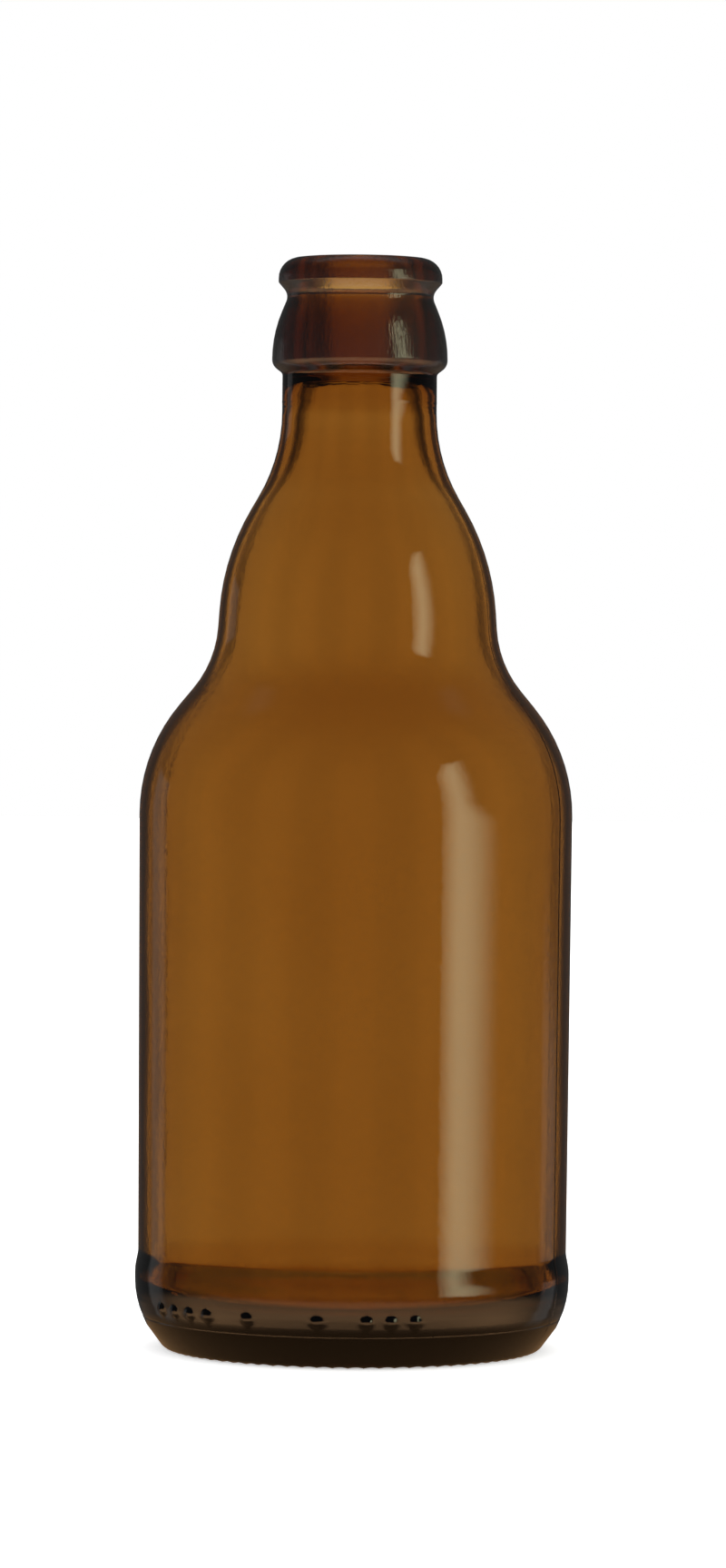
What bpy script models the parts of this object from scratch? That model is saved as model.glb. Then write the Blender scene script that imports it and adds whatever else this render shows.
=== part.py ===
"""A stubby beer bottle of amber glass with a crown finish, empty and open.

One turned glass body with a knurled bearing ring underneath and a row of small round dots on its heel.
Metres, +Z up. The origin is the centre of the plane it stands on, and the dots face -Y.
"""

import math
from collections import namedtuple

import bmesh
import bpy
from mathutils import Matrix, Vector

MM = 0.001

Corner = namedtuple("Corner", "radius height fillet")

# Corners of the outside, from the mouth down: radius from the axis, height above the table and
# the radius of the rounding there, all in millimetres.
MOUTH_RIM = Corner(8.3, 176.5, 1.5)
LIP_TOP = Corner(13.25, 176.5, 3.3)
LIP_UNDERSIDE = Corner(13.25, 172.5, 0.4)
GROOVE = Corner(11.55, 170.5, 1.9)
COLLAR_FLARE = Corner(14.2, 164.1, 20.0)
COLLAR_UNDERSIDE = Corner(14.2, 159.1, 1.9)
NECK_TOP = Corner(12.5, 157.8, 0.8)
NECK_FOOT = Corner(12.5, 144.2, 27.5)
BULB = Corner(21.8, 128.2, 38.0)
WAIST = Corner(22.95, 111.1, 17.4)
SHOULDER = Corner(35.1, 96.4, 27.5)
BODY_FOOT = Corner(34.7, 15.6, 3.8)
HEEL_TOP = Corner(35.2, 13.1, 7.5)
HEEL_TURN = Corner(35.2, 8.05, 15.0)
BASE_PLATE = Corner(33.3, 3.9, 0)
BEARING_OUTSIDE = Corner(30.4, 0, 1.9)
BEARING_INSIDE = Corner(27.6, 0, 1.2)
PUSH_UP_EDGE = Corner(24.5, 2.4, 4.0)
PUSH_UP_CENTRE = Corner(0, 4.8, 0)

# Corners of the hollow, from its floor up. Its wall is thickest at the neck.
BODY_WALL = 2.8
BULB_WALL = 3.0
FLOOR_CENTRE = Corner(0, 9.8, 0)
FLOOR_EDGE = Corner(BODY_FOOT.radius - BODY_WALL, 6.6, 8.0)
INNER_SHOULDER = Corner(SHOULDER.radius - BODY_WALL, 95.6, 25.0)
INNER_WAIST = Corner(WAIST.radius - BULB_WALL, 110.7, 19.0)
INNER_BULB = Corner(BULB.radius - BULB_WALL, 127.6, 36.0)
INNER_NECK = Corner(9.2, 145.5, 30.0)
BORE_FOOT = Corner(MOUTH_RIM.radius, 160.0, 0)

# The body has one side for each knurl of the ring that it stands on.
KNURLS = 76
KNURL_DEPTH = 0.25
KNURL_CREST = 0.6
KNURL_SINK = 0.02
KNURL_INNER_RADIUS = 26.4
KNURL_OUTER_RADIUS = 31.6
FIRST_CREST_TURN = math.radians(-0.9)

# The dots sit in some of thirteen places, counted round the heel from the left of the front.
DOT_PLACES = (0, 1, 2, 3, 5, 8, 10, 11, 12)
DOT_PITCH = math.radians(6.45)
FIRST_DOT_TURN = math.radians(-60.6)
DOT_RADIUS = 1.05
DOT_RISE = 0.45
DOT_HEIGHT = 7.7

# An arc is drawn with chords that leave it by about this, and a point this near the last one is left out.
ARC_ERROR = 0.16
COARSEST_ARC = 0.3
SHORTEST_SIDE = 0.5

AMBER = (0.215, 0.08, 0.009, 1.0)


def new_collection(name):
    """Make a collection inside the scene's own."""
    collection = bpy.data.collections.new(name)
    bpy.context.scene.collection.children.link(collection)
    return collection


def clear_scene():
    """Take away whatever the scene held before."""
    for obj in list(bpy.data.objects):
        bpy.data.objects.remove(obj, do_unlink=True)


def rounded(corners):
    """Points of an outline, with each of its corners rounded by its fillet."""
    points = [Vector(corners[0][:2])]
    for before, corner, after in zip(corners, corners[1:], corners[2:]):
        here = Vector(corner[:2])
        back = (Vector(before[:2]) - here).normalized()
        ahead = (Vector(after[:2]) - here).normalized()
        fillet = corner.fillet
        half_angle = back.angle(ahead) / 2
        if fillet == 0:
            points.append(here)
            continue
        centre = here + (back + ahead).normalized() * fillet / math.sin(half_angle)
        start = here + back * fillet / math.tan(half_angle) - centre
        sweep = math.copysign(math.pi - 2 * half_angle, back.x * start.y - back.y * start.x)
        chord_angle = 2 * math.acos(1 - min(ARC_ERROR / fillet, COARSEST_ARC))
        chords = max(1, round(abs(sweep) / chord_angle))
        for step in range(chords + 1):
            point = centre + Matrix.Rotation(sweep * step / chords, 2) @ start
            if (point - points[-1]).length > SHORTEST_SIDE:
                points.append(point)
    points.append(Vector(corners[-1][:2]))
    return points


def bottle_corners():
    """The whole outline: out along the floor, up the hollow, over the rim, down the outside and in underneath."""
    return [
        FLOOR_CENTRE,
        FLOOR_EDGE,
        INNER_SHOULDER,
        INNER_WAIST,
        INNER_BULB,
        INNER_NECK,
        BORE_FOOT,
        MOUTH_RIM,
        LIP_TOP,
        LIP_UNDERSIDE,
        GROOVE,
        COLLAR_FLARE,
        COLLAR_UNDERSIDE,
        NECK_TOP,
        NECK_FOOT,
        BULB,
        WAIST,
        SHOULDER,
        BODY_FOOT,
        HEEL_TOP,
        HEEL_TURN,
        BASE_PLATE,
        BEARING_OUTSIDE,
        BEARING_INSIDE,
        PUSH_UP_EDGE,
        PUSH_UP_CENTRE,
    ]


def glass_material():
    """Clear amber glass."""
    material = bpy.data.materials.new("amber_glass")
    material.use_nodes = True
    shader = material.node_tree.nodes["Principled BSDF"]
    shader.inputs["Base Color"].default_value = AMBER
    shader.inputs["Roughness"].default_value = 0.03
    shader.inputs["Metallic"].default_value = 0.0
    shader.inputs["IOR"].default_value = 1.52
    shader.inputs["Transmission Weight"].default_value = 1.0
    return material


def turned(name, outline, collection):
    """Turn an outline round the Z axis into a closed body."""
    mesh = bpy.data.meshes.new(name)
    points = [(point.x * MM, 0, point.y * MM) for point in outline]
    mesh.from_pydata(points, [(i, i + 1) for i in range(len(points) - 1)], [])
    body = bpy.data.objects.new(name, mesh)
    collection.objects.link(body)
    body.rotation_euler.z = FIRST_CREST_TURN - math.pi / 2
    screw = body.modifiers.new("turn", "SCREW")
    screw.steps = KNURLS
    screw.render_steps = KNURLS
    screw.use_merge_vertices = True
    screw.merge_threshold = 0.01 * MM
    return body


def knurl_cutters(collection):
    """The bars that cut the grooves between the crests of the bearing ring, all in one mesh."""
    pitch_angle = 2 * math.pi / KNURLS
    mean_radius = (BEARING_OUTSIDE.radius + BEARING_INSIDE.radius) / 2
    half_width = (pitch_angle * mean_radius - KNURL_CREST) / 2
    length = KNURL_OUTER_RADIUS - KNURL_INNER_RADIUS
    middle = (KNURL_OUTER_RADIUS + KNURL_INNER_RADIUS) / 2
    lie_down = Matrix.Rotation(math.pi / 2, 4, "Y") @ Matrix.Rotation(math.pi / 6, 4, "Z")
    section = Matrix.Diagonal((1, half_width, (KNURL_DEPTH + KNURL_SINK) / math.cos(math.pi / 6), 1))
    bars = bmesh.new()
    for groove in range(KNURLS):
        turn = FIRST_CREST_TURN - math.pi / 2 + (groove + 0.5) * pitch_angle
        place = Matrix.Rotation(turn, 4, "Z") @ Matrix.Translation((middle, 0, -KNURL_SINK))
        bmesh.ops.create_cone(
            bars,
            cap_ends=True,
            segments=6,
            radius1=1,
            radius2=1,
            depth=length,
            matrix=Matrix.Scale(MM, 4) @ place @ section @ lie_down,
        )
    mesh = bpy.data.meshes.new("knurl_cutters")
    bars.to_mesh(mesh)
    bars.free()
    cutters = bpy.data.objects.new("knurl_cutters", mesh)
    collection.objects.link(cutters)
    cutters.hide_render = True
    cutters.display_type = "WIRE"
    return cutters


def heel_radius_at(height, outline):
    """The outside radius of the heel at a height, read off its outline."""
    for upper, lower in zip(outline, outline[1:]):
        if lower.y <= height <= upper.y and upper.x > BASE_PLATE.radius:
            share = (height - lower.y) / (upper.y - lower.y)
            return lower.x + (upper.x - lower.x) * share
    raise ValueError("the height is outside the heel")


def add_dots(collection, outline):
    """One ball for each dot, sunk in the heel until only its cap stands out."""
    ball_radius = (DOT_RADIUS**2 + DOT_RISE**2) / (2 * DOT_RISE)
    centre_radius = heel_radius_at(DOT_HEIGHT, outline) + DOT_RISE - ball_radius
    for place in DOT_PLACES:
        turn = FIRST_DOT_TURN + place * DOT_PITCH - math.pi / 2
        mesh = bpy.data.meshes.new("heel_dot")
        ball = bmesh.new()
        bmesh.ops.create_uvsphere(ball, u_segments=10, v_segments=8, radius=ball_radius * MM)
        ball.to_mesh(mesh)
        ball.free()
        dot = bpy.data.objects.new("heel_dot", mesh)
        dot.rotation_euler = (0, math.pi / 2, turn)
        dot.location = (
            centre_radius * math.cos(turn) * MM,
            centre_radius * math.sin(turn) * MM,
            DOT_HEIGHT * MM,
        )
        collection.objects.link(dot)


def apply_modifiers(obj):
    """Put the evaluated mesh in place of the modifiers."""
    bpy.context.view_layer.update()
    graph = bpy.context.evaluated_depsgraph_get()
    mesh = bpy.data.meshes.new_from_object(obj.evaluated_get(graph))
    mesh.name = obj.name
    obj.modifiers.clear()
    obj.data = mesh


def build_bottle():
    """Turn the body, cut the knurls and join the dots."""
    parts = new_collection("stubby_beer_bottle")
    cutter_collection = new_collection("cutters")
    outline = rounded(bottle_corners())
    bottle = turned("glass_bottle", outline, parts)

    cut = bottle.modifiers.new("knurls", "BOOLEAN")
    cut.operation = "DIFFERENCE"
    cut.solver = "EXACT"
    cut.object = knurl_cutters(cutter_collection)

    dot_collection = new_collection("heel_dots")
    add_dots(dot_collection, outline)
    join = bottle.modifiers.new("dots", "BOOLEAN")
    join.operation = "UNION"
    join.solver = "EXACT"
    join.operand_type = "COLLECTION"
    join.collection = dot_collection
    apply_modifiers(bottle)
    for dot in list(dot_collection.objects):
        bpy.data.objects.remove(dot, do_unlink=True)
    bpy.data.collections.remove(dot_collection)

    bottle.data.materials.clear()
    bottle.data.materials.append(glass_material())
    bottle.data.shade_smooth()
    bottle.data.set_sharp_from_angle(angle=math.radians(35))


def main():
    clear_scene()
    build_bottle()


main()
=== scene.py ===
"""The looks of a stubby beer bottle of amber glass, empty and open, on a pale studio floor."""

import math
from collections import namedtuple

import bpy
from bpy.props import FloatProperty, FloatVectorProperty, PointerProperty
from mathutils import Euler, Matrix, Vector


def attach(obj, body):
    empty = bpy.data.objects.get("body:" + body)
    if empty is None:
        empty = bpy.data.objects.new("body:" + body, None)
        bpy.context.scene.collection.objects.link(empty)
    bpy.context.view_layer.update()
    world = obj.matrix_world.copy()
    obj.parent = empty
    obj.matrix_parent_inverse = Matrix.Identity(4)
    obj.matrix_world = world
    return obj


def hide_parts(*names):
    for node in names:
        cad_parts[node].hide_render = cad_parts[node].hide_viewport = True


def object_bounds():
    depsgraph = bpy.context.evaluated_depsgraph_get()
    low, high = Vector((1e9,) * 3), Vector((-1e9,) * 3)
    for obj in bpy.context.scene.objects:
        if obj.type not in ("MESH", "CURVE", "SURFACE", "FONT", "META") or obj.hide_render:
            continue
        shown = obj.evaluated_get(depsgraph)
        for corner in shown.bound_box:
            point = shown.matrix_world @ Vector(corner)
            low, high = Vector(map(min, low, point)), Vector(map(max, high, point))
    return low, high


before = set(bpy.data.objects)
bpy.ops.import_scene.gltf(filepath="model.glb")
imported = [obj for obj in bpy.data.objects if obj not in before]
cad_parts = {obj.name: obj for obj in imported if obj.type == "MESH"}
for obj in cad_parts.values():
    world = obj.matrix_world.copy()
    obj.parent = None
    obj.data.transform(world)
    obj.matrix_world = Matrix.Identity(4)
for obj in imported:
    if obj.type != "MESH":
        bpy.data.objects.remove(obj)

bl_info = {
    "name": "Stubby Beer Bottle",
    "version": (1, 0, 0),
    "blender": (4, 5, 0),
    "location": "3D View > Sidebar > Bottle",
    "description": "Makes the glass of a stubby beer bottle and the studio that it stands in",
    "category": "Add Mesh",
}

MM = 0.001
CAD_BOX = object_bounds()

# The outline's corners are in millimetres, as in the part: radius from the axis, height above the
# table and the radius of the rounding there. The height and the body's radius are read off the frame.
Corner = namedtuple("Corner", "radius height fillet")
HEIGHT = round((CAD_BOX[1].z - CAD_BOX[0].z) / MM, 1)
BODY_RADIUS = round((CAD_BOX[1].x - CAD_BOX[0].x) / 2 / MM - 0.1, 1)
KNURLS = 76


class BottleSizes(bpy.types.PropertyGroup):
    """Sizes of the glass that a user may change."""

    height: FloatProperty(
        name="Height",
        description="From the table to the top of the mouth",
        default=HEIGHT * MM,
        unit="LENGTH",
    )
    body_radius: FloatProperty(
        name="Body Radius",
        description="Radius of the body below its shoulder",
        default=BODY_RADIUS * MM,
        unit="LENGTH",
    )
    body_wall: FloatProperty(
        name="Body Wall",
        description="Thickness of the glass round the body",
        default=2.6 * MM,
        unit="LENGTH",
    )
    wall_oval: FloatProperty(
        name="Wall Oval",
        description="How much thicker the body's wall is in front and behind than on average, and thinner at the sides",
        default=0.45 * MM,
        unit="LENGTH",
    )
    upper_wall: FloatProperty(
        name="Upper Wall",
        description="Thickness of the glass round the bulb and the neck",
        default=2.5 * MM,
        unit="LENGTH",
    )
    bore_radius: FloatProperty(
        name="Bore Radius",
        description="Radius of the mouth's bore",
        default=8.3 * MM,
        unit="LENGTH",
    )
    knurl_depth: FloatProperty(
        name="Knurl Depth",
        description="Depth of the grooves across the ring that it stands on",
        default=0.25 * MM,
        unit="LENGTH",
    )
    dot_radius: FloatProperty(
        name="Dot Radius",
        description="Radius of the small round dots on the heel",
        default=1.05 * MM,
        unit="LENGTH",
    )
    dot_rise: FloatProperty(
        name="Dot Rise",
        description="How far the dots stand out of the heel",
        default=0.42 * MM,
        unit="LENGTH",
    )
    seam_rise: FloatProperty(
        name="Seam Rise",
        description="How far the mould's two upright seams stand out",
        default=0.07 * MM,
        unit="LENGTH",
    )
    wall_swing: FloatProperty(
        name="Wall Swing",
        description="How much the hollow's surface wanders, which thins and thickens the wall",
        default=0.35 * MM,
        unit="LENGTH",
    )


class GlassLook(bpy.types.PropertyGroup):
    """Finish of the glass."""

    tint: FloatVectorProperty(
        name="Tint",
        description="What a millimetre of the glass lets through, near enough",
        default=(0.757, 0.581, 0.191),
        subtype="COLOR",
        min=0,
        max=1,
    )
    depth: FloatProperty(
        name="Depth",
        description="How strongly the glass tints, for each metre of it",
        default=1000,
    )
    ior: FloatProperty(
        name="Refraction",
        description="Index of refraction of bottle glass",
        default=1.52,
    )
    roughness: FloatProperty(
        name="Roughness",
        description="Roughness of the clean glass",
        default=0.0,
        subtype="FACTOR",
    )
    haze_roughness: FloatProperty(
        name="Haze Roughness",
        description="Roughness of the film of wear on the lip and the collar",
        default=0.6,
        subtype="FACTOR",
    )


class StudioLook(bpy.types.PropertyGroup):
    """Light, floor and camera."""

    floor_radius: FloatProperty(
        name="Floor Radius",
        description="Radius of the round pale floor",
        default=3.0,
        unit="LENGTH",
    )
    floor_colour: FloatVectorProperty(
        name="Floor Colour",
        description="Colour of the floor",
        default=(0.95, 0.95, 0.95),
        subtype="COLOR",
    )
    floor_glow: FloatProperty(
        name="Floor Glow",
        description="How much the floor is lit from within, which keeps shadows off it",
        default=0.5,
    )
    light: FloatProperty(
        name="Soft Light",
        description="Strength of the soft light that comes from all round",
        default=1.12,
    )
    # Painted light: the amber that light through the glass casts round its foot. It colours the floor's glowing disc of
    # painted shade and light that the glass mirrors, and the table in the world's light below.
    foot_light_colour: FloatVectorProperty(
        name="Foot Light Colour",
        description="Colour of the light that passes through the glass and lands round its foot",
        default=(1.0, 0.56, 0.26),
        subtype="COLOR",
    )
    strip: FloatProperty(
        name="Strip Light",
        description="Strength of the tall strip light that the glass mirrors",
        default=3.5,
    )
    strip_colour: FloatVectorProperty(
        name="Strip Colour",
        description="Colour of the strip light",
        default=(1.0, 0.97, 0.6),
        subtype="COLOR",
    )


def outside_corners(size):
    """The outside from the mouth down to the ring that it stands on, and in underneath."""
    top = size.height / MM
    body = size.body_radius / MM
    return [
        Corner(size.bore_radius / MM, top, 1.5),
        Corner(13.25, top, 3.3),
        Corner(13.25, top - 4.0, 0.4),
        Corner(11.55, top - 6.0, 1.9),
        Corner(14.2, top - 12.4, 20.0),
        Corner(14.2, top - 17.4, 1.9),
        Corner(12.5, top - 18.7, 0.8),
        Corner(12.5, top - 32.3, 27.5),
        Corner(21.8, top - 48.3, 38.0),
        Corner(22.95, top - 65.4, 17.4),
        Corner(body, top - 80.1, 27.5),
        Corner(body - 0.4, 15.6, 3.8),
        Corner(body + 0.09, 13.1, 7.5),
        Corner(body + 0.09, 8.05, 15.0),
        Corner(body - 1.8, 3.9, 0),
        Corner(body - 4.7, 0, 1.9),
        Corner(27.6, 0, 1.2),
        Corner(24.5, 2.4, 4.0),
        Corner(0, 4.8, 0),
    ]


def hollow_corners(size):
    """The hollow from the middle of its floor up to the bore, as far off the outside as the wall is thick."""
    top = size.height / MM
    body = size.body_radius / MM
    wall = size.body_wall / MM
    upper_wall = size.upper_wall / MM
    return [
        Corner(0, 9.8, 0),
        Corner(body - 0.4 - wall, 8.6, 3.0),
        Corner(body - wall, top - 80.9, 25.0),
        Corner(23.0 - upper_wall, top - 66.4, 19.9),
        Corner(21.85 - upper_wall, top - 49.1, 35.5),
        Corner(12.45 - upper_wall, top - 32.4, 24.0),
        Corner(12.4 - upper_wall, top - 25.5, 6.0),
        Corner(11.95 - upper_wall, top - 22.5, 3.0),
        Corner(11.9 - upper_wall, top - 20.2, 0.6),
        Corner(size.bore_radius / MM + 0.5, top - 19.3, 0.6),
    ]


ARC_ERROR = 0.024
COARSEST_CHORD = math.radians(12)
LONGEST_SIDE = 5.0


def rounded(corners):
    """Points of an outline, with each of its corners rounded by its fillet."""
    points = [Vector(corners[0][:2])]
    for before, corner, after in zip(corners, corners[1:], corners[2:]):
        here = Vector(corner[:2])
        back = (Vector(before[:2]) - here).normalized()
        ahead = (Vector(after[:2]) - here).normalized()
        if corner.fillet == 0:
            points.append(here)
            continue
        half_angle = back.angle(ahead) / 2
        centre = here + (back + ahead).normalized() * corner.fillet / math.sin(half_angle)
        start = here + back * corner.fillet / math.tan(half_angle) - centre
        sweep = math.copysign(math.pi - 2 * half_angle, back.x * start.y - back.y * start.x)
        chord = min(2 * math.acos(1 - ARC_ERROR / corner.fillet), COARSEST_CHORD)
        chords = max(2, math.ceil(abs(sweep) / chord))
        for step in range(chords + 1):
            points.append(centre + Matrix.Rotation(sweep * step / chords, 2) @ start)
    points.append(Vector(corners[-1][:2]))
    return points


# Fine rows lie where the outside carries something small: the heights between which they lie, and their spacing.
FINE_ROWS = ((5.1, 5.7, 0.1), (6.4, 9.0, 0.27), (152.9, 153.5, 0.1))
DOT_HEIGHT = 7.7


def side_length(point, inner):
    """How long a side of the outline may be at this point."""
    if not inner:
        for low, high, spacing in FINE_ROWS:
            if low < point.y < high and point.x > 5:
                return spacing
    return LONGEST_SIDE


def with_fine_rows(points, inner):
    """The outline again, with its long sides cut up."""
    made = [points[0]]
    for start, end in zip(points, points[1:]):
        marks = [share / 40 for share in range(41)]
        lengths = [side_length(start.lerp(end, mark), inner) for mark in marks]
        if min(lengths) < LONGEST_SIDE and (end - start).length > min(lengths):
            travelled = 0.0
            for low, high, spacing in zip(marks, marks[1:], lengths):
                travelled += (end - start).length * (high - low)
                if travelled >= spacing:
                    made.append(start.lerp(end, high))
                    travelled = 0.0
            if (made[-1] - end).length > 0.01:
                made.append(end)
            continue
        steps = max(1, math.ceil((end - start).length / LONGEST_SIDE))
        for step in range(1, steps + 1):
            made.append(start.lerp(end, step / steps))
    return made


class Wire:
    """An output of a node. Arithmetic on it adds further nodes."""

    def __init__(self, nodes, socket):
        self.nodes = nodes
        self.socket = socket

    def __add__(self, other):
        return self.nodes.math("ADD", self, other)

    def __radd__(self, other):
        return self.nodes.math("ADD", other, self)

    def __sub__(self, other):
        return self.nodes.math("SUBTRACT", self, other)

    def __rsub__(self, other):
        return self.nodes.math("SUBTRACT", other, self)

    def __mul__(self, other):
        return self.nodes.math("MULTIPLY", self, other)

    def __rmul__(self, other):
        return self.nodes.math("MULTIPLY", other, self)

    def __truediv__(self, other):
        return self.nodes.math("DIVIDE", self, other)

    def __neg__(self):
        return self.nodes.math("MULTIPLY", self, -1)


class Nodes:
    """Writes a node tree as formulas."""

    def __init__(self, tree):
        self.tree = tree

    def put(self, socket, value):
        """Link a wire to a socket, or set the socket's value."""
        if isinstance(value, Wire):
            self.tree.links.new(value.socket, socket)
        else:
            socket.default_value = value

    def node(self, kind, inputs=None, **settings):
        """Add a node with these settings and inputs."""
        made = self.tree.nodes.new(kind)
        for name, value in settings.items():
            setattr(made, name, value)
        for name, value in (inputs or {}).items():
            self.put(made.inputs[name], value)
        return made

    def add(self, kind, inputs=None, output=0, **settings):
        """Add a node and give one of its outputs."""
        return Wire(self, self.node(kind, inputs, **settings).outputs[output])

    def math(self, operation, *values):
        return self.add("ShaderNodeMath", dict(enumerate(values)), operation=operation)

    def vector(self, operation, *values, output=0):
        return self.add("ShaderNodeVectorMath", dict(enumerate(values)), output, operation=operation)

    def combine(self, x, y, z):
        return self.add("ShaderNodeCombineXYZ", {0: x, 1: y, 2: z})

    def separate(self, vector):
        made = self.node("ShaderNodeSeparateXYZ", {0: vector})
        return [Wire(self, output) for output in made.outputs]

    def ramp(self, value, low, high, start=0.0, end=1.0):
        """A smooth step from start to end as the value goes from low to high."""
        inputs = {"Value": value, "From Min": low, "From Max": high, "To Min": start, "To Max": end}
        return self.add("ShaderNodeMapRange", inputs, interpolation_type="SMOOTHSTEP")

    def noise(self, place, scale, detail=2.0, roughness=0.5, seed=0.0):
        """Noise about zero, seeded by the fourth dimension of its space."""
        inputs = {"Vector": place, "W": seed, "Scale": scale, "Detail": detail, "Roughness": roughness}
        return self.add("ShaderNodeTexNoise", inputs, noise_dimensions="4D") - 0.5


def geometry_tree(name, sockets):
    """A new geometry node tree with these inputs, as (name, kind, default), besides its geometry."""
    tree = bpy.data.node_groups.new(name, "GeometryNodeTree")
    tree.interface.new_socket("Geometry", in_out="INPUT", socket_type="NodeSocketGeometry")
    for label, kind, default in sockets:
        socket = tree.interface.new_socket(label, in_out="INPUT", socket_type=kind)
        if default is not None:
            socket.default_value = default
    tree.interface.new_socket("Geometry", in_out="OUTPUT", socket_type="NodeSocketGeometry")
    nodes = Nodes(tree)
    inputs = nodes.node("NodeGroupInput")
    return nodes, {output.name: Wire(nodes, output) for output in inputs.outputs if output.name}


def set_inputs(modifier, values):
    """Set a Geometry Nodes modifier's inputs by their names."""
    for item in modifier.node_group.interface.items_tree:
        if item.name in values and item.in_out == "INPUT":
            modifier[item.identifier] = values[item.name]


# Places of the dots along the heel, counted from its left, and the angles of the first one and between them.
DOT_PLACES = 13
EMPTY_DOT_PLACES = (4, 6, 7, 9)
DOT_PITCH = math.radians(6.45)
FIRST_DOT_TURN = math.radians(-60.6)
FIRST_CREST_TURN = math.radians(-0.9)
SEAM_TURN = math.radians(69.0)
SIDES_OF_A_KNURL = 5


def turned_glass_tree():
    """Turns an outline into a closed body, with the knurls, dots and mould lines of pressed glass."""
    n, given = geometry_tree(
        "Turned Glass",
        [
            ("Columns", "NodeSocketObject", None),
            ("Knurls", "NodeSocketInt", KNURLS),
            ("Knurl Depth", "NodeSocketFloat", 0.25 * MM),
            ("First Crest Turn", "NodeSocketFloat", FIRST_CREST_TURN),
            ("Dot Radius", "NodeSocketFloat", 1.05 * MM),
            ("Dot Rise", "NodeSocketFloat", 0.42 * MM),
            ("Dot Ring Radius", "NodeSocketFloat", 35 * MM),
            ("Seam Turn", "NodeSocketFloat", SEAM_TURN),
            ("Seam Rise", "NodeSocketFloat", 0.07 * MM),
            ("Wall Swing", "NodeSocketFloat", 0.3 * MM),
            ("Wall Oval", "NodeSocketFloat", 0.45 * MM),
            ("Seed", "NodeSocketFloat", 3.0),
            ("Material", "NodeSocketMaterial", None),
        ],
    )
    outline = given["Geometry"]
    columns = n.add("GeometryNodeObjectInfo", {"Object": given["Columns"]}, "Geometry")
    row_count = n.add("GeometryNodeAttributeDomainSize", {0: outline}, "Point Count")
    column_count = n.add("GeometryNodeAttributeDomainSize", {0: columns}, "Point Count")
    grid = n.add(
        "GeometryNodeMeshGrid",
        {"Size X": 1.0, "Size Y": 1.0, "Vertices X": column_count, "Vertices Y": row_count},
    )
    index = n.add("GeometryNodeInputIndex")
    row = n.math("MODULO", index, row_count)
    column = n.math("FLOOR", (index + 0.5) / row_count)
    position = n.add("GeometryNodeInputPosition")

    def sampled(geometry, value, place, kind):
        inputs = {"Geometry": geometry, "Value": value, "Index": place}
        return n.add("GeometryNodeSampleIndex", inputs, data_type=kind)

    def attribute(name):
        return n.add("GeometryNodeInputNamedAttribute", {"Name": name}, data_type="FLOAT")

    def stored(geometry, name, value):
        inputs = {"Geometry": geometry, "Name": name, "Value": value}
        return n.add("GeometryNodeStoreNamedAttribute", inputs, data_type="FLOAT", domain="POINT")

    def round_place(radius, turn, height):
        return n.combine(radius * n.math("SINE", turn), -(radius * n.math("COSINE", turn)), height)

    radius, _, height = n.separate(sampled(outline, position, row, "FLOAT_VECTOR"))
    hollow = sampled(outline, attribute("hollow"), row, "FLOAT")
    turn, _, _ = n.separate(sampled(columns, position, column, "FLOAT_VECTOR"))
    shaped = stored(stored(grid, "hollow", hollow), "turn", turn)

    knurl_phase = (turn - given["First Crest Turn"]) * given["Knurls"] / 2
    groove = n.math("POWER", n.math("ABSOLUTE", n.math("SINE", knurl_phase)), 0.6)
    groove_height = groove * given["Knurl Depth"] * (1 - hollow)
    place = round_place(radius, turn, n.math("MAXIMUM", height, groove_height))
    shaped = n.add("GeometryNodeSetPosition", {"Geometry": shaped, "Position": place})
    shaped = n.add("GeometryNodeMergeByDistance", {"Geometry": shaped, "Distance": 0.0003 * MM})
    shaped = n.add("GeometryNodeFlipFaces", {"Mesh": shaped})

    dot_turn = FIRST_DOT_TURN + index * DOT_PITCH
    dot_place = round_place(given["Dot Ring Radius"], dot_turn, DOT_HEIGHT * MM)
    dots = n.add("GeometryNodePoints", {"Count": DOT_PLACES, "Position": dot_place})
    empty = sum(n.math("COMPARE", index, place, 0.5) for place in EMPTY_DOT_PLACES)
    dots = n.add("GeometryNodeDeleteGeometry", {"Geometry": dots, "Selection": empty}, domain="POINT")
    near = n.add("GeometryNodeProximity", {0: dots}, "Distance", target_element="POINTS")
    share = n.math("MINIMUM", near / given["Dot Radius"], 1.0)
    dome = n.math("POWER", 1 - share * share, 0.8) * given["Dot Rise"]

    _, _, z = n.separate(position)
    off_seam = n.math("PINGPONG", attribute("turn") - given["Seam Turn"], math.pi / 2)
    ridge = n.ramp(off_seam, 0.0, math.radians(0.35), 1.0, 0.0) * given["Seam Rise"]
    ridge = ridge * n.ramp(z, 90 * MM, 125 * MM, 1.0, 0.3) * n.ramp(z, 3.4 * MM, 4.4 * MM)
    ridge = ridge * n.ramp(z, 174 * MM, 176 * MM, 1.0, 0.0)

    def mould_line(line_height, half_width, rise):
        off_line = n.math("ABSOLUTE", z - line_height * MM)
        return n.ramp(off_line, 0.0, half_width * MM, rise * MM, 0.0)

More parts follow.
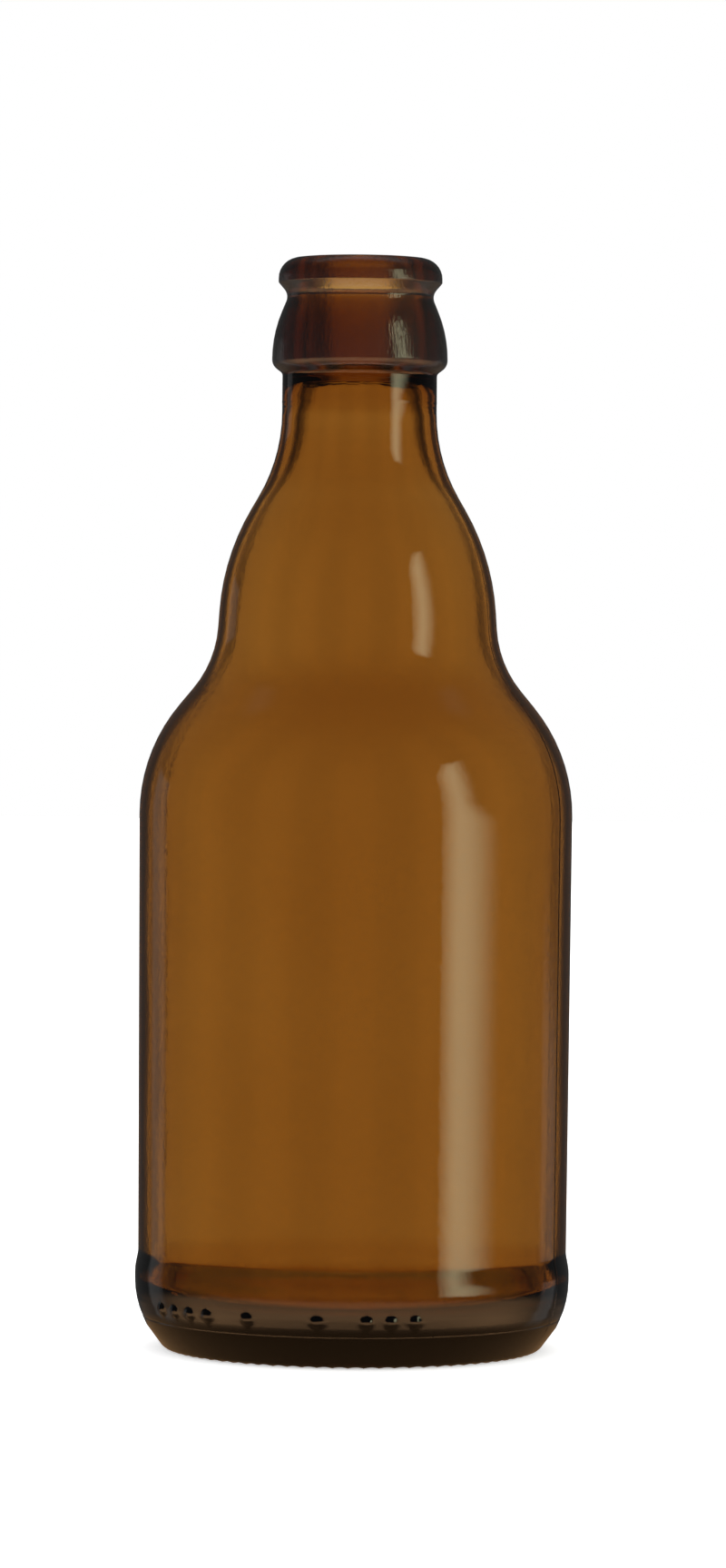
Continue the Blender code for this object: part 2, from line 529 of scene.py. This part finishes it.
    lines = mould_line(5.4, 0.2, -0.05) + mould_line(153.2, 0.25, 0.03)
    wander = n.noise(position, 28.0, 1.0, seed=given["Seed"])
    wander = wander + n.noise(position, 90.0, 1.0, seed=given["Seed"] + 5.0) * 0.25
    wander = wander * given["Wall Swing"] * n.ramp(z, 150 * MM, 168 * MM, 1.0, 0.0)
    oval = n.math("COSINE", attribute("turn") * 2) * given["Wall Oval"]
    oval = oval * n.ramp(z, 7 * MM, 14 * MM) * n.ramp(z, 135 * MM, 150 * MM, 1.0, 0.6)
    oval = oval * n.ramp(z, 154 * MM, 157 * MM, 1.0, 0.0)
    ragged = n.noise(position, 700.0, 2.0, seed=given["Seed"] + 9.0) * 0.5 + 0.25
    scar = mould_line(156.6, 0.7, 0.35) * ragged
    outside = 1 - attribute("hollow")
    rise = (dome + ridge + lines) * outside + (wander + oval + scar) * attribute("hollow")
    normal = n.add("GeometryNodeInputNormal")
    offset = n.add("ShaderNodeVectorMath", {0: normal, "Scale": rise}, operation="SCALE")
    shaped = n.add("GeometryNodeSetPosition", {"Geometry": shaped, "Offset": offset})

    shaped = n.add("GeometryNodeSetShadeSmooth", {"Geometry": shaped, "Shade Smooth": True})
    shaped = n.add("GeometryNodeRealizeInstances", {"Geometry": shaped})
    shaped = n.add("GeometryNodeSetMaterial", {"Geometry": shaped, "Material": given["Material"]})
    n.node("NodeGroupOutput", {0: shaped})
    return n.tree


def column_turns():
    """The turns at which the outline is repeated: evenly over each knurl, closer over the dots and the seams."""
    even = KNURLS * SIDES_OF_A_KNURL
    first = FIRST_CREST_TURN - math.pi
    turns = [first + 2 * math.pi * column / even for column in range(even + 1)]
    for place in range(DOT_PLACES):
        if place not in EMPTY_DOT_PLACES:
            middle = FIRST_DOT_TURN + place * DOT_PITCH
            turns += [middle + math.radians(share * 0.42) for share in (-3.5, -2.5, -1.5, -0.5, 0.5, 1.5, 2.5, 3.5)]
    for seam in (SEAM_TURN, SEAM_TURN - math.pi):
        turns += [seam + math.radians(share) for share in (-0.6, -0.35, -0.18, 0.0, 0.18, 0.35, 0.6)]
    kept = []
    for turn in sorted(turns):
        if not kept or turn - kept[-1] > math.radians(0.12):
            kept.append(turn)
    kept[-1] = kept[0] + 2 * math.pi
    return kept


def line_object(name, points, marks=None):
    """A mesh of loose edges through these points, with a mark for each point."""
    mesh = bpy.data.meshes.new(name)
    mesh.from_pydata(points, [(i, i + 1) for i in range(len(points) - 1)], [])
    if marks:
        attribute = mesh.attributes.new("hollow", "FLOAT", "POINT")
        attribute.data.foreach_set("value", marks)
    made = bpy.data.objects.new(name, mesh)
    bpy.context.scene.collection.objects.link(made)
    return made


def radius_at(height, points):
    """The widest radius of the outline at a height."""
    found = []
    for start, end in zip(points, points[1:]):
        low, high = sorted((start, end), key=lambda point: point.y)
        if low.y <= height <= high.y and high.y > low.y:
            found.append(low.lerp(high, (height - low.y) / (high.y - low.y)).x)
    return max(found)


def plain_mesh(obj):
    """Put the evaluated mesh in place of the object's modifiers."""
    bpy.context.view_layer.update()
    graph = bpy.context.evaluated_depsgraph_get()
    mesh = bpy.data.meshes.new_from_object(obj.evaluated_get(graph))
    mesh.name = obj.name
    obj.modifiers.clear()
    obj.data = mesh


def shader_group(name, inputs, outputs):
    """A new shader node group with these inputs, as (name, default), and outputs."""
    tree = bpy.data.node_groups.new(name, "ShaderNodeTree")
    for label, default in inputs:
        socket = tree.interface.new_socket(label, in_out="INPUT", socket_type="NodeSocketFloat")
        socket.default_value = default
    for label in outputs:
        tree.interface.new_socket(label, in_out="OUTPUT", socket_type="NodeSocketFloat")
    nodes = Nodes(tree)
    entry = nodes.node("NodeGroupInput")
    return nodes, {output.name: Wire(nodes, output) for output in entry.outputs if output.name}


def glass_relief_group():
    """The fine relief of pressed and blown glass, as a height in metres."""
    n, given = shader_group(
        "Glass Relief",
        [
            ("Ripple", 0.012 * MM),
            ("Ripple Scale", 900.0),
            ("Finish Grain", 0.06 * MM),
            ("Finish Foot", 158.0 * MM),
            ("Scuff", 0.03 * MM),
            ("Scuff Height", 3.5 * MM),
        ],
        ["Height", "Finish Haze"],
    )
    place = n.add("ShaderNodeTexCoord", output="Object")
    x, y, z = n.separate(place)
    radius = n.math("SQRT", x * x + y * y)
    ripple = n.noise(place, given["Ripple Scale"], 2.0, seed=1.0) * given["Ripple"]
    streaked = n.combine(x, y, z * 0.25)
    grain = n.noise(streaked, 2600.0, 2.0, seed=2.0)
    finish = n.ramp(z, given["Finish Foot"], given["Finish Foot"] + 1.5 * MM) * n.ramp(radius, 10.0 * MM, 11.0 * MM)
    haze = finish * (0.9 + n.noise(streaked, 1500.0, 2.0, seed=4.0) * 0.5)
    grain = grain * finish * given["Finish Grain"]
    scuff = n.noise(place, 1800.0, 3.0, 0.7, seed=3.0) * given["Scuff"]
    scuff = scuff * n.ramp(z, given["Scuff Height"] * 0.4, given["Scuff Height"], 1.0, 0.0)
    n.node("NodeGroupOutput", {0: ripple + grain + scuff, 1: haze})
    return n.tree


def amber_glass(look):
    """Amber container glass: clear, glossy, and darker the thicker it is."""
    material = bpy.data.materials.new("Amber Glass")
    material.use_nodes = True
    n = Nodes(material.node_tree)
    shader = material.node_tree.nodes["Principled BSDF"]
    shader.inputs["Base Color"].default_value = (1, 1, 1, 1)
    shader.inputs["Metallic"].default_value = 0.0
    shader.inputs["Roughness"].default_value = look.roughness
    shader.inputs["IOR"].default_value = look.ior
    shader.inputs["Transmission Weight"].default_value = 1.0
    relief = n.node("ShaderNodeGroup", node_tree=glass_relief_group())
    height = Wire(n, relief.outputs["Height"])
    n.put(shader.inputs["Normal"], n.add("ShaderNodeBump", {"Height": height, "Distance": 1.0}))
    n.put(shader.inputs["Coat Weight"], Wire(n, relief.outputs["Finish Haze"]))
    shader.inputs["Coat Roughness"].default_value = look.haze_roughness
    inside = n.node("ShaderNodeVolumeAbsorption")
    inside.inputs["Color"].default_value = (*look.tint, 1)
    inside.inputs["Density"].default_value = look.depth
    output = material.node_tree.nodes["Material Output"]
    material.node_tree.links.new(inside.outputs["Volume"], output.inputs["Volume"])
    return material


class OBJECT_OT_stubby_glass(bpy.types.Operator):
    """Turn the glass body with its knurled ring, dots and mould lines"""

    bl_idname = "object.stubby_glass"
    bl_label = "Glass Bottle"

    def execute(self, context):
        size = context.scene.bottle_sizes
        whole = rounded(hollow_corners(size) + outside_corners(size))
        top = max(range(len(whole)), key=lambda i: whole[i].y)
        inner = with_fine_rows(whole[: top + 1], True)
        outer = with_fine_rows(whole[top:], False)
        points = inner + outer[1:]
        marks = [1.0] * (len(inner) - 4) + [0.0] * (len(outer) + 3)
        outline = line_object("glass_outline", [(p.x * MM, 0, p.y * MM) for p in points], marks)
        columns = line_object("glass_columns", [(turn, 0, 0) for turn in column_turns()])

        modifier = outline.modifiers.new("turn", "NODES")
        modifier.node_group = turned_glass_tree()
        set_inputs(
            modifier,
            {
                "Columns": columns,
                "Knurl Depth": size.knurl_depth,
                "Dot Radius": size.dot_radius,
                "Dot Rise": size.dot_rise,
                "Dot Ring Radius": radius_at(DOT_HEIGHT, points) * MM,
                "Seam Rise": size.seam_rise,
                "Wall Swing": size.wall_swing,
                "Wall Oval": size.wall_oval,
                "Material": amber_glass(context.scene.glass_look),
            },
        )
        plain_mesh(outline)
        bpy.data.objects.remove(columns, do_unlink=True)
        bottle = outline
        bottle.name = "bottle_glass"
        if not bottle.data.polygons:
            raise RuntimeError("the outline turned into no faces")
        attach(bottle, "root")
        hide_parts("glass_bottle")
        return {"FINISHED"}


def band(n, value, low, high, soft):
    """One between low and high, and nothing outside them, with soft edges."""
    return n.ramp(value, low - soft, low + soft) * n.ramp(value, high - soft, high + soft, 1.0, 0.0)


def mixed(n, factor, a, b):
    """Colour a, or b where the factor is one."""
    return n.add("ShaderNodeMix", {0: factor, 6: a, 7: b}, 2, data_type="RGBA")


def tinted(n, level, colour):
    """This colour, as strong as the level says."""
    return n.add("ShaderNodeVectorMath", {0: tuple(colour), "Scale": level}, operation="SCALE")


def studio_world(look):
    """White to the eye and softly lit all round. The glass looks through to bright panels with dark gaps."""
    world = bpy.data.worlds.new("Studio")
    world.use_nodes = True
    n = Nodes(world.node_tree)
    path = n.node("ShaderNodeLightPath")
    rays = {output.name: Wire(n, output) for output in path.outputs}
    direction = n.add("ShaderNodeTexCoord", output="Generated")
    x, y, z = n.separate(direction)
    degree = 180 / math.pi
    behind = n.math("ARCTAN2", x, y) * degree
    before = n.math("ARCTAN2", x, -y) * degree
    rise = n.math("ARCSINE", z) * degree

    gap = n.math("PINGPONG", behind, 22.5)
    panel = n.ramp(gap, 7.5, 13.5, 0.7, 0.0) + n.ramp(gap, 12.0, 21.0, 0.3, 0.12)
    panels = panel * n.ramp(rise, 20.0, 50.0, 1.0, 0.0) * n.ramp(rise, -75.0, -45.0, 0.4, 1.0)
    seen_through = n.combine(panels, panels, panels)

    # The strip light stands to the right of the front. Its left edge is sharp, its top comes to a
    # point, and it fades to the right, more slowly low down.
    low = n.ramp(rise, -3.0, 10.0, 1.0, 0.0)
    left_edge = 45.8 + n.ramp(rise, 25.0, 34.0) * 6.0
    glow = n.ramp(before, left_edge - 2.0, left_edge + 11.0, 0.1, 1.0) * n.ramp(before, left_edge, left_edge + 1.0)
    glow = glow * n.ramp(before, 55.0 + low * 3.0, 70.0 + low * 15.0, 1.0, 0.0)
    strip = glow * band(n, rise, -7.0, 32.5, 1.0) * look.strip
    side = band(n, n.math("ABSOLUTE", before), 121.0, 137.0, 3.0) * 0.17
    side = side * n.ramp(rise + before * 0.05, 2.0, 4.0, 1.0, 0.0)
    overhead = n.ramp(rise, 45.0, 65.0) * n.ramp(y, 0.0, 0.2) * 0.35
    beneath = n.ramp(rise, -75.0, -55.0, 0.9, 0.0)
    table = n.ramp(rise, -13.0, -8.0, 1.2, 0.0) + n.ramp(rise, -25.0, -12.0, 0.5, 0.0)
    table = table * n.ramp(rise, -50.0, -27.0, 0.3, 1.0)
    table = table * n.ramp(n.math("ABSOLUTE", before), 80.0, 135.0, 1.0, 0.07)
    around = side + overhead + beneath + 0.05
    mirrored = n.vector("ADD", tinted(n, strip, look.strip_colour), n.combine(around, around, around))
    mirrored = n.vector("ADD", mirrored, tinted(n, table, look.foot_light_colour))

    colour = mixed(n, rays["Is Transmission Ray"], mirrored, seen_through)
    soft = (look.light, look.light, look.light, 1)
    colour = mixed(n, rays["Is Diffuse Ray"], colour, soft)
    colour = mixed(n, rays["Is Camera Ray"], colour, (1, 1, 1, 1))
    background = world.node_tree.nodes["Background"]
    n.put(background.inputs["Color"], colour)
    return world


def floor_material(look):
    """Pale matt floor that glows a little, which keeps shadows off it. The glass looks past it, to the panels, except
    that near the foot its reflections show a painted dim amber disc: painted shadow and painted light.
    """
    material = bpy.data.materials.new("Pale Floor")
    material.use_nodes = True
    n = Nodes(material.node_tree)
    shader = material.node_tree.nodes["Principled BSDF"]
    shader.inputs["Base Color"].default_value = (*look.floor_colour, 1)
    shader.inputs["Roughness"].default_value = 1.0
    shader.inputs["Specular IOR Level"].default_value = 0.0
    shader.inputs["Emission Color"].default_value = (1, 1, 1, 1)
    shader.inputs["Emission Strength"].default_value = look.floor_glow
    path = n.node("ShaderNodeLightPath")
    rays = {output.name: Wire(n, output) for output in path.outputs}
    x, y, _ = n.separate(n.add("ShaderNodeTexCoord", output="Object"))
    # Painted shadow and light: within about 37 to 46 mm of the axis, glossy rays see a dim amber glow in place of the
    # floor.
    shade = n.ramp(n.math("SQRT", x * x + y * y), 37 * MM, 46 * MM)
    passing = n.math("MAXIMUM", rays["Is Transmission Ray"], rays["Is Glossy Ray"] * shade)
    clear = n.node("ShaderNodeBsdfTransparent")
    # The dark glow is painted: shade and amber light round the foot, as the glass mirrors them.
    dark = n.node("ShaderNodeEmission", {"Color": (*look.foot_light_colour, 1), "Strength": 0.25})
    seen = n.node("ShaderNodeMixShader", {0: rays["Is Glossy Ray"]})
    material.node_tree.links.new(shader.outputs[0], seen.inputs[1])
    material.node_tree.links.new(dark.outputs[0], seen.inputs[2])
    mix = n.node("ShaderNodeMixShader", {0: passing})
    material.node_tree.links.new(seen.outputs[0], mix.inputs[1])
    material.node_tree.links.new(clear.outputs[0], mix.inputs[2])
    output = material.node_tree.nodes["Material Output"]
    material.node_tree.links.new(mix.outputs[0], output.inputs["Surface"])
    return material


# The photograph's frame and what was measured in it, in its pixels.
FRAME_WIDTH = 800
FRAME_HEIGHT = 1727
FOCAL_PIXELS = 6890
EYE_ROW = 706
EYE_COLUMN = 393.84
LEAN = math.radians(0.505)
EYE_HEIGHT = 0.11464
EYE_DISTANCE = 1.0128
FLOOR_DROP = 0.02 * MM


def add_camera():
    """The camera at the photograph's viewing angle."""
    data = bpy.data.cameras.new("camera")
    data.sensor_width = 36
    data.lens = data.sensor_width * FOCAL_PIXELS / FRAME_HEIGHT
    data.clip_start = 0.01
    data.clip_end = 100
    camera = bpy.data.objects.new("camera", data)
    bpy.context.scene.collection.objects.link(camera)
    camera.location = (0, -EYE_DISTANCE, EYE_HEIGHT)
    right = EYE_COLUMN - FRAME_WIDTH / 2
    up = FRAME_HEIGHT / 2 - EYE_ROW
    aside = right * math.cos(LEAN) - up * math.sin(LEAN)
    above = right * math.sin(LEAN) + up * math.cos(LEAN)
    look = Euler((math.pi / 2 - math.atan(above / FOCAL_PIXELS), 0, math.atan(aside / FOCAL_PIXELS)))
    camera.rotation_mode = "QUATERNION"
    camera.rotation_quaternion = look.to_quaternion() @ Euler((0, 0, LEAN)).to_quaternion()
    bpy.context.scene.camera = camera


class SCENE_OT_bottle_studio(bpy.types.Operator):
    """Lay the pale floor, light the studio and set up the camera"""

    bl_idname = "scene.bottle_studio"
    bl_label = "Studio"

    def execute(self, context):
        look = context.scene.studio_look
        bpy.ops.mesh.primitive_circle_add(vertices=96, radius=look.floor_radius, fill_type="NGON")
        floor = context.active_object
        floor.name = "floor"
        floor.location.z = -FLOOR_DROP
        floor.data.materials.append(floor_material(look))
        context.scene.world = studio_world(look)
        context.scene.view_settings.view_transform = "Standard"
        context.scene.cycles.transmission_bounces = 24
        context.scene.cycles.max_bounces = 32
        add_camera()
        return {"FINISHED"}


class VIEW3D_PT_stubby_bottle(bpy.types.Panel):
    """The bottle's pieces and the values that shape them"""

    bl_label = "Stubby Bottle"
    bl_space_type = "VIEW_3D"
    bl_region_type = "UI"
    bl_category = "Bottle"

    def draw(self, context):
        scene = context.scene
        for operator, values in (
            (OBJECT_OT_stubby_glass, (scene.bottle_sizes, scene.glass_look)),
            (SCENE_OT_bottle_studio, (scene.studio_look,)),
        ):
            self.layout.operator(operator.bl_idname)
            for group in values:
                for name in group.bl_rna.properties.keys():
                    if name not in ("rna_type", "name"):
                        self.layout.prop(group, name)


PROPERTY_GROUPS = (
    ("bottle_sizes", BottleSizes),
    ("glass_look", GlassLook),
    ("studio_look", StudioLook),
)
CLASSES = (OBJECT_OT_stubby_glass, SCENE_OT_bottle_studio, VIEW3D_PT_stubby_bottle)


def register():
    for name, group in PROPERTY_GROUPS:
        bpy.utils.register_class(group)
        setattr(bpy.types.Scene, name, PointerProperty(type=group))
    for made in CLASSES:
        bpy.utils.register_class(made)


def unregister():
    for made in reversed(CLASSES):
        bpy.utils.unregister_class(made)
    for name, group in reversed(PROPERTY_GROUPS):
        delattr(bpy.types.Scene, name)
        bpy.utils.unregister_class(group)


def main():
    register()
    bpy.ops.object.stubby_glass()
    bpy.ops.scene.bottle_studio()


if __name__ == "__main__":
    main()
